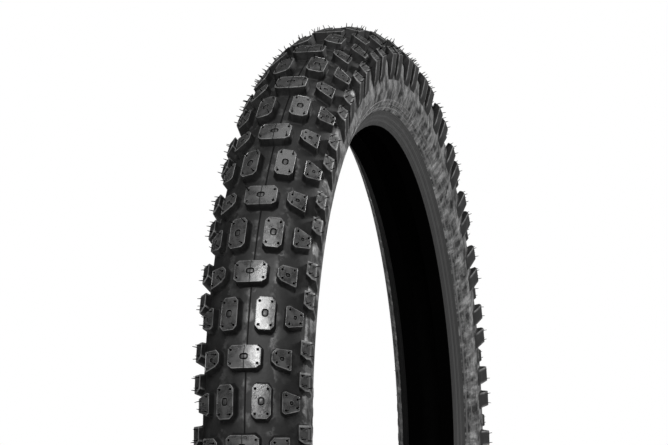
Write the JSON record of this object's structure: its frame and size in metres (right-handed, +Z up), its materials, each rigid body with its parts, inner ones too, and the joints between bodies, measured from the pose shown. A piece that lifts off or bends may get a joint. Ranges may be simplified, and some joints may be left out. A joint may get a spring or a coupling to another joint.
{
  "type": "motorcycle tire",
  "caption": "Knobbly off-road motorcycle tire with a block tread, shoulder ribs, plain sidewalls and wire beads, open at the middle for a spoked rim.",
  "frame": {"origin": "centre of the wheel, on the axle line and on the tire's centre plane", "axes": "+Y along the axle towards the left side, +Z up through a pair of tall blocks, +X forward; the tire stands upright"},
  "size_m": [0.7088, 0.0926, 0.7024],
  "materials": {
    "tread_rubber": "moulded, semi matt",
    "sidewall_rubber": "moulded, satin",
    "rim_strip_rubber": "fine ribbed, satin",
    "filler_rubber": "matt",
    "liner_rubber": "matt, powdered",
    "ply_cord": "rubbered nylon cord",
    "bead_wire": "bronze coated steel wire"
  },
  "bodies": {
    "root": {"tread_base": "tread_rubber", "centre_blocks": "tread_rubber", "inner_blocks_left": "tread_rubber", "middle_blocks_left": "tread_rubber", "outer_blocks_left": "tread_rubber", "shoulder_blocks_front_left": "tread_rubber", "shoulder_blocks_rear_left": "tread_rubber", "inner_blocks_right": "tread_rubber", "middle_blocks_right": "tread_rubber", "outer_blocks_right": "tread_rubber", "shoulder_blocks_front_right": "tread_rubber", "shoulder_blocks_rear_right": "tread_rubber", "vent_hairs": "tread_rubber", "sidewall_left": "sidewall_rubber", "rim_strip_left": "rim_strip_rubber", "bead_filler_left": "filler_rubber", "bead_insulation_left": "filler_rubber", "bead_wires_left": "bead_wire", "sidewall_right": "sidewall_rubber", "rim_strip_right": "rim_strip_rubber", "bead_filler_right": "filler_rubber", "bead_insulation_right": "filler_rubber", "bead_wires_right": "bead_wire", "casing_ply_outer": "ply_cord", "casing_ply_inner": "ply_cord", "inner_liner": "liner_rubber"}
  },
  "joints": []
}
